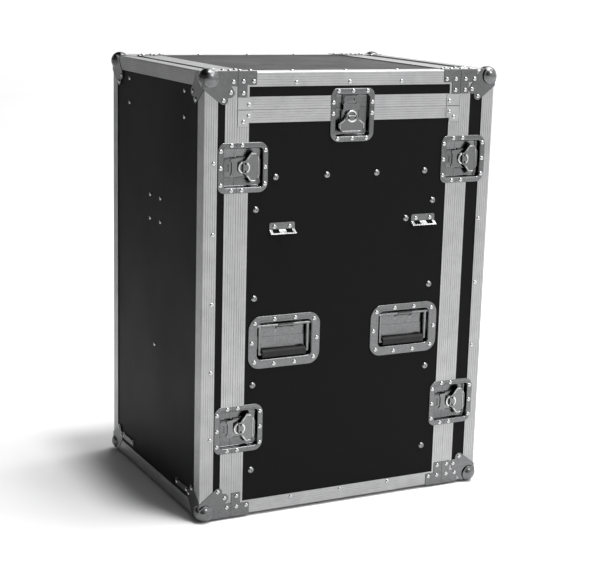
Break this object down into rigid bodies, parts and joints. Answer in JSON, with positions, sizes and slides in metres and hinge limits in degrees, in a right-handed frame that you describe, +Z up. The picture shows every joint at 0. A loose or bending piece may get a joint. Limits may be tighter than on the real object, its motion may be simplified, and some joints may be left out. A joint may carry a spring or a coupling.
{
  "type": "equipment rack case",
  "caption": "Upright flight case for rack equipment with removable end lids, a lift-off top lid, recessed butterfly latches, sprung handles and inner rack rails.",
  "frame": {"origin": "on the floor, under the middle of the case's outer box", "axes": "+Z up, X along the side walls with the front lid at -X and the rear lid at +X, Y across the case from wall to wall"},
  "size_m": [0.695, 0.5486, 0.944],
  "materials": {
    "laminate_board": "plywood with a black laminate face, fine grain, semi-gloss",
    "aluminium_profile": "mill finish with fine lengthwise ribs, satin",
    "zinc_fittings": "zinc plated pressed steel, satin",
    "zinc_fasteners": "zinc plated screws, nuts and spacers",
    "rivets": "blind rivet heads, satin",
    "rail_steel": "zinc plated steel rail, satin",
    "handle_steel": "bright zinc plated rod",
    "latch_steel": "bright zinc plated steel",
    "grip_rubber": "black rubber sleeve of oval section, smooth and matte"
  },
  "bodies": {
    "case": {"side_wall_near": "laminate_board", "side_wall_far": "laminate_board", "floor_panel": "laminate_board", "body_profiles": "aluminium_profile", "rack_rails": "rail_steel", "rail_fasteners": "zinc_fasteners", "handle_dishes": "zinc_fittings", "body_latch_dishes": "zinc_fittings", "body_fittings": "zinc_fittings", "body_rivets": "rivets"},
    "front_lid": {"front_lid_shell": "laminate_board", "front_lid_profiles": "aluminium_profile", "front_lid_fittings": "zinc_fittings", "front_lid_rivets": "rivets"},
    "rear_lid": {"rear_lid_shell": "laminate_board", "rear_lid_profiles": "aluminium_profile", "rear_lid_fittings": "zinc_fittings", "rear_lid_rivets": "rivets"},
    "top_lid": {"top_lid_shell": "laminate_board", "top_lid_profiles": "aluminium_profile", "top_lid_fittings": "zinc_fittings", "top_lid_rivets": "rivets"},
    "bail_near_front": {"handle_bail_near_front": "handle_steel", "handle_grip_near_front": "grip_rubber"},
    "bail_near_rear": {"handle_bail_near_rear": "handle_steel", "handle_grip_near_rear": "grip_rubber"},
    "bail_far_front": {"handle_bail_far_front": "handle_steel", "handle_grip_far_front": "grip_rubber"},
    "bail_far_rear": {"handle_bail_far_rear": "handle_steel", "handle_grip_far_rear": "grip_rubber"},
    "spindle_near_front_upper": {"latch_spindle_near_front_upper": "latch_steel"},
    "spindle_near_front_lower": {"latch_spindle_near_front_lower": "latch_steel"},
    "spindle_near_rear_upper": {"latch_spindle_near_rear_upper": "latch_steel"},
    "spindle_near_rear_lower": {"latch_spindle_near_rear_lower": "latch_steel"},
    "spindle_near_top": {"latch_spindle_near_top": "latch_steel"},
    "spindle_far_front_upper": {"latch_spindle_far_front_upper": "latch_steel"},
    "spindle_far_front_lower": {"latch_spindle_far_front_lower": "latch_steel"},
    "spindle_far_rear_upper": {"latch_spindle_far_rear_upper": "latch_steel"},
    "spindle_far_rear_lower": {"latch_spindle_far_rear_lower": "latch_steel"},
    "spindle_far_top": {"latch_spindle_far_top": "latch_steel"},
    "wing_near_front_upper": {"latch_wing_near_front_upper": "latch_steel"},
    "wing_near_front_lower": {"latch_wing_near_front_lower": "latch_steel"},
    "wing_near_rear_upper": {"latch_wing_near_rear_upper": "latch_steel"},
    "wing_near_rear_lower": {"latch_wing_near_rear_lower": "latch_steel"},
    "wing_near_top": {"latch_wing_near_top": "latch_steel"},
    "wing_far_front_upper": {"latch_wing_far_front_upper": "latch_steel"},
    "wing_far_front_lower": {"latch_wing_far_front_lower": "latch_steel"},
    "wing_far_rear_upper": {"latch_wing_far_rear_upper": "latch_steel"},
    "wing_far_rear_lower": {"latch_wing_far_rear_lower": "latch_steel"},
    "wing_far_top": {"latch_wing_far_top": "latch_steel"},
    "hook_near_front_upper": {"latch_hook_near_front_upper": "latch_steel"},
    "hook_near_front_lower": {"latch_hook_near_front_lower": "latch_steel"},
    "hook_near_rear_upper": {"latch_hook_near_rear_upper": "latch_steel"},
    "hook_near_rear_lower": {"latch_hook_near_rear_lower": "latch_steel"},
    "hook_near_top": {"latch_hook_near_top": "latch_steel"},
    "hook_far_front_upper": {"latch_hook_far_front_upper": "latch_steel"},
    "hook_far_front_lower": {"latch_hook_far_front_lower": "latch_steel"},
    "hook_far_rear_upper": {"latch_hook_far_rear_upper": "latch_steel"},
    "hook_far_rear_lower": {"latch_hook_far_rear_lower": "latch_steel"},
    "hook_far_top": {"latch_hook_far_top": "latch_steel"}
  },
  "joints": [
    {"name": "front_lid_pull", "type": "slide", "parent": "case", "child": "front_lid", "axis": [-1, 0, 0], "range_m": [0, 0.16]},
    {"name": "rear_lid_pull", "type": "slide", "parent": "case", "child": "rear_lid", "axis": [1, 0, 0], "range_m": [0, 0.16]},
    {"name": "top_lid_lift", "type": "slide", "parent": "case", "child": "top_lid", "axis": [0, 0, 1], "range_m": [0, 0.14]},
    {"name": "bail_near_front_lift", "type": "hinge", "parent": "case", "child": "bail_near_front", "pos_m": [-0.152, -0.259, 0.4127], "axis": [-1, 0, 0], "range_deg": [0, 90], "stiffness_Nm_per_rad": 0.15},
    {"name": "bail_near_rear_lift", "type": "hinge", "parent": "case", "child": "bail_near_rear", "pos_m": [0.137, -0.259, 0.4127], "axis": [-1, 0, 0], "range_deg": [0, 90], "stiffness_Nm_per_rad": 0.15},
    {"name": "bail_far_front_lift", "type": "hinge", "parent": "case", "child": "bail_far_front", "pos_m": [-0.152, 0.259, 0.4127], "axis": [1, 0, 0], "range_deg": [0, 90], "stiffness_Nm_per_rad": 0.15},
    {"name": "bail_far_rear_lift", "type": "hinge", "parent": "case", "child": "bail_far_rear", "pos_m": [0.137, 0.259, 0.4127], "axis": [1, 0, 0], "range_deg": [0, 90], "stiffness_Nm_per_rad": 0.15},
    {"name": "latch_near_front_upper_turn", "type": "hinge", "parent": "case", "child": "spindle_near_front_upper", "pos_m": [-0.25075, -0.264, 0.7455], "axis": [0, -1, 0], "range_deg": [0, 180]},
    {"name": "latch_near_front_upper_fold", "type": "hinge", "parent": "spindle_near_front_upper", "child": "wing_near_front_upper", "pos_m": [-0.25075, -0.2608, 0.7455], "axis": [0, 0, -1], "range_deg": [0, 90]},
    {"name": "latch_near_front_upper_hook", "type": "slide", "parent": "case", "child": "hook_near_front_upper", "axis": [-1, 0, 0], "range_m": [0, 0.006]},
    {"name": "latch_near_front_lower_turn", "type": "hinge", "parent": "case", "child": "spindle_near_front_lower", "pos_m": [-0.25075, -0.264, 0.197], "axis": [0, -1, 0], "range_deg": [0, 180]},
    {"name": "latch_near_front_lower_fold", "type": "hinge", "parent": "spindle_near_front_lower", "child": "wing_near_front_lower", "pos_m": [-0.25075, -0.2608, 0.197], "axis": [0, 0, -1], "range_deg": [0, 90]},
    {"name": "latch_near_front_lower_hook", "type": "slide", "parent": "case", "child": "hook_near_front_lower", "axis": [-1, 0, 0], "range_m": [0, 0.006]},
    {"name": "latch_near_rear_upper_turn", "type": "hinge", "parent": "rear_lid", "child": "spindle_near_rear_upper", "pos_m": [0.27125, -0.264, 0.7455], "axis": [0, -1, 0], "range_deg": [0, 180]},
    {"name": "latch_near_rear_upper_fold", "type": "hinge", "parent": "spindle_near_rear_upper", "child": "wing_near_rear_upper", "pos_m": [0.27125, -0.2608, 0.7455], "axis": [0, 0, -1], "range_deg": [0, 90]},
    {"name": "latch_near_rear_upper_hook", "type": "slide", "parent": "rear_lid", "child": "hook_near_rear_upper", "axis": [-1, 0, 0], "range_m": [0, 0.006]},
    {"name": "latch_near_rear_lower_turn", "type": "hinge", "parent": "rear_lid", "child": "spindle_near_rear_lower", "pos_m": [0.27125, -0.264, 0.197], "axis": [0, -1, 0], "range_deg": [0, 180]},
    {"name": "latch_near_rear_lower_fold", "type": "hinge", "parent": "spindle_near_rear_lower", "child": "wing_near_rear_lower", "pos_m": [0.27125, -0.2608, 0.197], "axis": [0, 0, -1], "range_deg": [0, 90]},
    {"name": "latch_near_rear_lower_hook", "type": "slide", "parent": "rear_lid", "child": "hook_near_rear_lower", "axis": [-1, 0, 0], "range_m": [0, 0.006]},
    {"name": "latch_near_top_turn", "type": "hinge", "parent": "case", "child": "spindle_near_top", "pos_m": [-0.0075, -0.264, 0.84325], "axis": [0, -1, 0], "range_deg": [0, 180]},
    {"name": "latch_near_top_fold", "type": "hinge", "parent": "spindle_near_top", "child": "wing_near_top", "pos_m": [-0.0075, -0.2608, 0.84325], "axis": [-1, 0, 0], "range_deg": [0, 90]},
    {"name": "latch_near_top_hook", "type": "slide", "parent": "case", "child": "hook_near_top", "axis": [0, 0, 1], "range_m": [0, 0.006]},
    {"name": "latch_far_front_upper_turn", "type": "hinge", "parent": "case", "child": "spindle_far_front_upper", "pos_m": [-0.25075, 0.264, 0.7455], "axis": [0, 1, 0], "range_deg": [0, 180]},
    {"name": "latch_far_front_upper_fold", "type": "hinge", "parent": "spindle_far_front_upper", "child": "wing_far_front_upper", "pos_m": [-0.25075, 0.2608, 0.7455], "axis": [0, 0, 1], "range_deg": [0, 90]},
    {"name": "latch_far_front_upper_hook", "type": "slide", "parent": "case", "child": "hook_far_front_upper", "axis": [-1, 0, 0], "range_m": [0, 0.006]},
    {"name": "latch_far_front_lower_turn", "type": "hinge", "parent": "case", "child": "spindle_far_front_lower", "pos_m": [-0.25075, 0.264, 0.197], "axis": [0, 1, 0], "range_deg": [0, 180]},
    {"name": "latch_far_front_lower_fold", "type": "hinge", "parent": "spindle_far_front_lower", "child": "wing_far_front_lower", "pos_m": [-0.25075, 0.2608, 0.197], "axis": [0, 0, 1], "range_deg": [0, 90]},
    {"name": "latch_far_front_lower_hook", "type": "slide", "parent": "case", "child": "hook_far_front_lower", "axis": [-1, 0, 0], "range_m": [0, 0.006]},
    {"name": "latch_far_rear_upper_turn", "type": "hinge", "parent": "rear_lid", "child": "spindle_far_rear_upper", "pos_m": [0.27125, 0.264, 0.7455], "axis": [0, 1, 0], "range_deg": [0, 180]},
    {"name": "latch_far_rear_upper_fold", "type": "hinge", "parent": "spindle_far_rear_upper", "child": "wing_far_rear_upper", "pos_m": [0.27125, 0.2608, 0.7455], "axis": [0, 0, 1], "range_deg": [0, 90]},
    {"name": "latch_far_rear_upper_hook", "type": "slide", "parent": "rear_lid", "child": "hook_far_rear_upper", "axis": [-1, 0, 0], "range_m": [0, 0.006]},
    {"name": "latch_far_rear_lower_turn", "type": "hinge", "parent": "rear_lid", "child": "spindle_far_rear_lower", "pos_m": [0.27125, 0.264, 0.197], "axis": [0, 1, 0], "range_deg": [0, 180]},
    {"name": "latch_far_rear_lower_fold", "type": "hinge", "parent": "spindle_far_rear_lower", "child": "wing_far_rear_lower", "pos_m": [0.27125, 0.2608, 0.197], "axis": [0, 0, 1], "range_deg": [0, 90]},
    {"name": "latch_far_rear_lower_hook", "type": "slide", "parent": "rear_lid", "child": "hook_far_rear_lower", "axis": [-1, 0, 0], "range_m": [0, 0.006]},
    {"name": "latch_far_top_turn", "type": "hinge", "parent": "case", "child": "spindle_far_top", "pos_m": [-0.0075, 0.264, 0.84325], "axis": [0, 1, 0], "range_deg": [0, 180]},
    {"name": "latch_far_top_fold", "type": "hinge", "parent": "spindle_far_top", "child": "wing_far_top", "pos_m": [-0.0075, 0.2608, 0.84325], "axis": [1, 0, 0], "range_deg": [0, 90]},
    {"name": "latch_far_top_hook", "type": "slide", "parent": "case", "child": "hook_far_top", "axis": [0, 0, 1], "range_m": [0, 0.006]}
  ],
  "couplings": [
    {"joint": "latch_near_front_upper_hook", "follows": "latch_near_front_upper_turn", "m_per_rad": 0.0019098},
    {"joint": "latch_near_front_lower_hook", "follows": "latch_near_front_lower_turn", "m_per_rad": 0.0019098},
    {"joint": "latch_near_rear_upper_hook", "follows": "latch_near_rear_upper_turn", "m_per_rad": 0.0019098},
    {"joint": "latch_near_rear_lower_hook", "follows": "latch_near_rear_lower_turn", "m_per_rad": 0.0019098},
    {"joint": "latch_near_top_hook", "follows": "latch_near_top_turn", "m_per_rad": 0.0019098},
    {"joint": "latch_far_front_upper_hook", "follows": "latch_far_front_upper_turn", "m_per_rad": 0.0019098},
    {"joint": "latch_far_front_lower_hook", "follows": "latch_far_front_lower_turn", "m_per_rad": 0.0019098},
    {"joint": "latch_far_rear_upper_hook", "follows": "latch_far_rear_upper_turn", "m_per_rad": 0.0019098},
    {"joint": "latch_far_rear_lower_hook", "follows": "latch_far_rear_lower_turn", "m_per_rad": 0.0019098},
    {"joint": "latch_far_top_hook", "follows": "latch_far_top_turn", "m_per_rad": 0.0019098}
  ]
}
